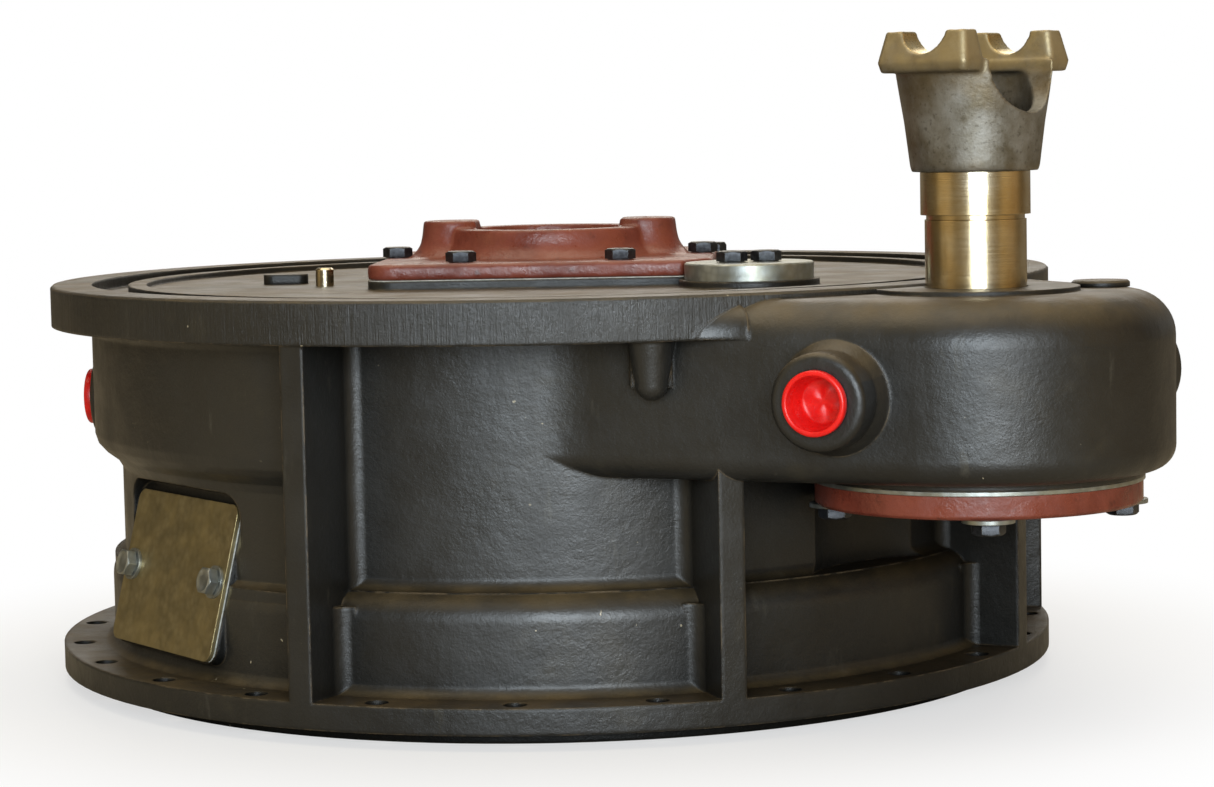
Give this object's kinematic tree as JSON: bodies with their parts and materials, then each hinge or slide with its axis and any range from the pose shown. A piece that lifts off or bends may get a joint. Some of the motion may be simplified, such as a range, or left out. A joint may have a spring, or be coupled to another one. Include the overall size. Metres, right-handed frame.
{
  "type": "offset planetary gearbox",
  "caption": "Flanged bell-housing gearbox with a planetary stage inside, an offset output shaft carrying a half-round yoke, and a pump pad on its top cover.",
  "frame": {"origin": "centre of the bolt circle on the mating face of the lower flange", "axes": "+Z along the main axis, from the bell towards the pump pad; -Y is the front, with the output shaft to the front right (+X, -Y)"},
  "size_m": [0.5981, 0.6019, 0.3417],
  "materials": {
    "casing_paint": "satin black paint over a rough iron casting",
    "primer_red": "matt red oxide primer on cast iron",
    "polished_steel": "ground and polished",
    "forged_steel": "dark forged skin with bare machined faces",
    "gear_steel": "machined, oiled",
    "machined_iron": "turned faces on raw iron",
    "dark_bolts": "black oxide",
    "zinc_washers": "bright zinc",
    "zinc_plate": "brushed sheet with a yellow passivate",
    "red_plastic": "moulded soft gloss",
    "gasket": "thin fibre sheet",
    "seal_rubber": "moulded",
    "bronze": "turned bearing bronze"
  },
  "bodies": {
    "housing": {"box_top_plate": "casing_paint", "centre_cover": "primer_red", "centre_cover_bolts": "dark_bolts", "centre_cover_gasket": "gasket", "deck_dowel": "polished_steel", "deck_key": "casing_paint", "filler_plug": "dark_bolts", "idler_cap_bolts": "dark_bolts", "idler_pin": "polished_steel", "idler_pin_cap": "zinc_washers", "input_cover": "machined_iron", "input_outer_race": "polished_steel", "input_shaft_seal": "seal_rubber", "inspection_bolts": "zinc_washers", "inspection_cover": "zinc_plate", "inspection_gasket": "gasket", "inspection_washers": "zinc_washers", "main_casing": "casing_paint", "main_lower_outer_race": "polished_steel", "main_upper_outer_race": "polished_steel", "middle_plate": "machined_iron", "output_cover_bolts": "dark_bolts", "output_cover_shim": "zinc_washers", "output_cover_washers": "zinc_washers", "output_lower_cover": "primer_red", "output_outer_races": "polished_steel", "output_shaft_seal": "seal_rubber", "planetary_stage_bolts": "dark_bolts", "port_cap_front": "red_plastic", "port_cap_left": "red_plastic", "port_cap_right": "red_plastic", "ring_gear": "gear_steel"},
    "main_drive": {"planet_carrier": "gear_steel", "lower_carrier_plate": "gear_steel", "planet_pins": "polished_steel", "main_gear": "gear_steel", "main_upper_inner_race": "polished_steel", "main_lower_inner_race": "polished_steel"},
    "input": {"input_shaft": "gear_steel", "input_inner_race": "polished_steel"},
    "planet_1": {"planet_gear_1": "gear_steel", "planet_bushing_1": "bronze"},
    "planet_2": {"planet_gear_2": "gear_steel", "planet_bushing_2": "bronze"},
    "planet_3": {"planet_gear_3": "gear_steel", "planet_bushing_3": "bronze"},
    "idler": {"idler_gear": "gear_steel", "idler_bushing": "bronze"},
    "output": {"output_shaft": "polished_steel", "output_inner_races": "polished_steel", "output_gear": "gear_steel", "output_sleeve": "polished_steel", "output_yoke": "forged_steel", "yoke_nut": "forged_steel", "yoke_washer": "forged_steel"},
    "output_roller_sets": {"output_rollers": "polished_steel"},
    "main_upper_roller_set": {"main_upper_rollers": "polished_steel"},
    "main_lower_roller_set": {"main_lower_rollers": "polished_steel"},
    "input_roller_set": {"input_rollers": "polished_steel"}
  },
  "joints": [
    {"name": "main_drive_spin", "type": "hinge", "parent": "housing", "child": "main_drive", "pos_m": [0, 0, 0.15], "axis": [0, 0, 1], "continuous": true},
    {"name": "input_spin", "type": "hinge", "parent": "housing", "child": "input", "pos_m": [0, 0, 0.05], "axis": [0, 0, 1], "continuous": true},
    {"name": "planet_1_spin", "type": "hinge", "parent": "main_drive", "child": "planet_1", "pos_m": [0, -0.072, 0.086], "axis": [0, 0, 1], "continuous": true},
    {"name": "planet_2_spin", "type": "hinge", "parent": "main_drive", "child": "planet_2", "pos_m": [0.06235, 0.036, 0.086], "axis": [0, 0, 1], "continuous": true},
    {"name": "planet_3_spin", "type": "hinge", "parent": "main_drive", "child": "planet_3", "pos_m": [-0.06235, 0.036, 0.086], "axis": [0, 0, 1], "continuous": true},
    {"name": "idler_spin", "type": "hinge", "parent": "housing", "child": "idler", "pos_m": [0.10496, -0.10995, 0.159], "axis": [0, 0, 1], "continuous": true},
    {"name": "output_spin", "type": "hinge", "parent": "housing", "child": "output", "pos_m": [0.20991, -0.21989, 0.2], "axis": [0, 0, 1], "continuous": true},
    {"name": "output_rollers_orbit", "type": "hinge", "parent": "housing", "child": "output_roller_sets", "pos_m": [0.20991, -0.21989, 0.16], "axis": [0, 0, 1], "continuous": true},
    {"name": "main_upper_rollers_orbit", "type": "hinge", "parent": "housing", "child": "main_upper_roller_set", "pos_m": [0, 0, 0.196], "axis": [0, 0, 1], "continuous": true},
    {"name": "main_lower_rollers_orbit", "type": "hinge", "parent": "housing", "child": "main_lower_roller_set", "pos_m": [0, 0, 0.127], "axis": [0, 0, 1], "continuous": true},
    {"name": "input_rollers_orbit", "type": "hinge", "parent": "housing", "child": "input_roller_set", "pos_m": [0, 0, 0.047], "axis": [0, 0, 1], "continuous": true}
  ],
  "couplings": [
    {"joint": "input_spin", "follows": "main_drive_spin", "ratio": 4},
    {"joint": "planet_1_spin", "follows": "main_drive_spin", "ratio": -3},
    {"joint": "planet_2_spin", "follows": "main_drive_spin", "ratio": -3},
    {"joint": "planet_3_spin", "follows": "main_drive_spin", "ratio": -3},
    {"joint": "idler_spin", "follows": "main_drive_spin", "ratio": -1.0541},
    {"joint": "output_spin", "follows": "main_drive_spin", "ratio": 1},
    {"joint": "output_rollers_orbit", "follows": "main_drive_spin", "ratio": 0.42254},
    {"joint": "main_upper_rollers_orbit", "follows": "main_drive_spin", "ratio": 0.4375},
    {"joint": "main_lower_rollers_orbit", "follows": "main_drive_spin", "ratio": 0.43956},
    {"joint": "input_rollers_orbit", "follows": "main_drive_spin", "ratio": 1.7518}
  ]
}
